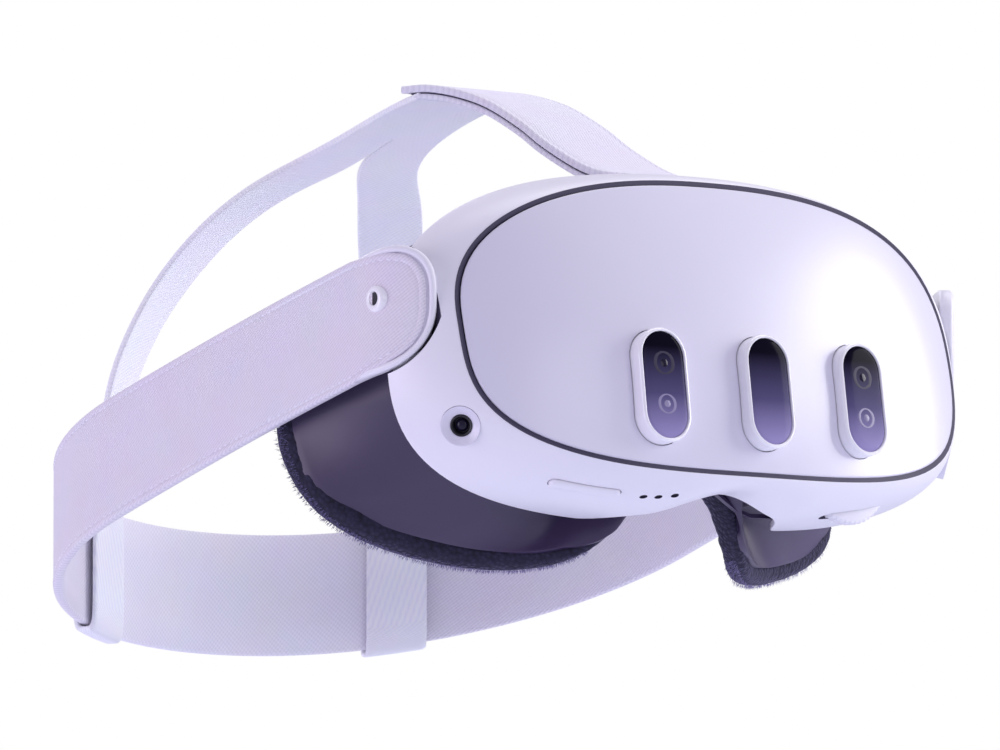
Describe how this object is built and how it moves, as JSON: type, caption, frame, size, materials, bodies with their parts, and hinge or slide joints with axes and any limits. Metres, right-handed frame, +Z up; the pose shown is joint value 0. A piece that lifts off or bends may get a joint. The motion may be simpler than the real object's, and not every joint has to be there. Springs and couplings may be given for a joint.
{
  "type": "vr headset",
  "caption": "Stand-alone VR headset: rounded visor with pill-shaped sensor windows, sliding lenses, face cushion and a Y-shaped fabric head harness.",
  "frame": {"origin": "middle of the underside of the bounding box", "axes": "+X to the wearer's left, +Y from the front of the visor to the back of the head, +Z up"},
  "size_m": [0.1858, 0.2222, 0.1397],
  "materials": {
    "satin_white": "satin off-white moulded plastic",
    "gloss_white": "glossy white moulded plastic",
    "dark_plastic": "matt dark grey-violet plastic",
    "dark_foam": "dark foam with a knitted cover",
    "seam_rubber": "soft dark seal",
    "window_glass": "near-black coated glass",
    "lens_glass": "clear moulded lens",
    "fabric": "pale grey-lilac woven elastic",
    "metal": "plain formed steel",
    "board": "solder-masked circuit board",
    "black": "matt black plastic"
  },
  "bodies": {
    "visor": {"front_panel": "satin_white", "panel_gasket": "seam_rubber", "main_shell": "satin_white", "right_bezel": "gloss_white", "centre_bezel": "gloss_white", "left_bezel": "gloss_white", "right_window": "window_glass", "centre_window": "window_glass", "left_window": "window_glass", "right_colour_camera": "black", "left_colour_camera": "black", "right_tracking_camera": "black", "left_tracking_camera": "black", "depth_sensor": "black", "right_side_camera": "black", "left_side_camera": "black", "chassis": "metal", "mainboard": "board", "battery": "black", "heat_sink": "metal", "fan_housing": "black", "lower_guide_rod": "metal", "upper_guide_rod": "metal", "rear_cover": "dark_plastic", "top_cover_screw": "metal", "right_cover_screw": "metal", "left_cover_screw": "metal", "proximity_sensor": "window_glass", "rear_trim": "dark_plastic", "right_arm_bracket": "metal", "left_arm_bracket": "metal", "top_strap_anchor": "satin_white", "top_strap_front": "fabric"},
    "harness": {"right_arm": "satin_white", "left_arm": "satin_white", "right_speaker": "dark_plastic", "left_speaker": "dark_plastic", "audio_jack": "gloss_white", "usb_port": "metal", "right_side_strap": "fabric", "left_side_strap": "fabric", "rear_strap": "fabric", "right_strap_loop": "gloss_white", "left_strap_loop": "gloss_white", "top_strap": "fabric", "crown_strap": "fabric"},
    "interface": {"facial_interface": "dark_plastic", "face_cushion": "dark_foam"},
    "right_release": {"right_release_button": "satin_white"},
    "left_release": {"left_release_button": "satin_white"},
    "wheel": {"ipd_wheel": "satin_white"},
    "right_optics": {"right_lens_barrel": "black", "right_lens": "lens_glass", "right_display": "window_glass"},
    "left_optics": {"left_lens_barrel": "black", "left_lens": "lens_glass", "left_display": "window_glass"},
    "fan": {"fan_impeller": "dark_plastic"},
    "rocker": {"volume_rocker": "satin_white"},
    "power": {"power_button": "satin_white"}
  },
  "joints": [
    {"name": "harness_tilt", "type": "hinge", "parent": "visor", "child": "harness", "pos_m": [0, -0.06878, 0.07135], "axis": [1, 0, 0], "range_deg": [-6, 10], "deforming": ["top_strap_front"]},
    {"name": "interface_slide", "type": "slide", "parent": "visor", "child": "interface", "axis": [0, 1, 0], "range_m": [0, 0.004]},
    {"name": "right_release_press", "type": "slide", "parent": "interface", "child": "right_release", "axis": [-1, 0, 0], "range_m": [0, 0.001], "stiffness_N_per_m": 1200},
    {"name": "left_release_press", "type": "slide", "parent": "interface", "child": "left_release", "axis": [1, 0, 0], "range_m": [0, 0.001], "stiffness_N_per_m": 1200},
    {"name": "ipd_spin", "type": "hinge", "parent": "visor", "child": "wheel", "pos_m": [0.04, -0.09237, 0.03525], "axis": [0, 1, 0], "range_deg": [-90, 90]},
    {"name": "right_lens_slide", "type": "slide", "parent": "visor", "child": "right_optics", "axis": [1, 0, 0], "range_m": [-0.0047, 0.0047]},
    {"name": "left_lens_slide", "type": "slide", "parent": "visor", "child": "left_optics", "axis": [1, 0, 0], "range_m": [-0.0047, 0.0047]},
    {"name": "fan_spin", "type": "hinge", "parent": "visor", "child": "fan", "pos_m": [0, -0.09258, 0.07685], "axis": [0, 1, 0], "continuous": true},
    {"name": "rocker_tilt", "type": "hinge", "parent": "visor", "child": "rocker", "pos_m": [-0.0455, -0.09348, 0.02625], "axis": [0.1884, 0.9124, -0.3633], "range_deg": [-2.5, 2.5], "stiffness_Nm_per_rad": 0.2},
    {"name": "power_press", "type": "slide", "parent": "visor", "child": "power", "axis": [-0.8702, 0.4901, 0.05], "range_m": [0, 0.0008], "stiffness_N_per_m": 1500}
  ],
  "couplings": [
    {"joint": "ipd_spin", "follows": "right_lens_slide", "rad_per_m": 333.33},
    {"joint": "left_lens_slide", "follows": "right_lens_slide", "ratio": -1}
  ]
}
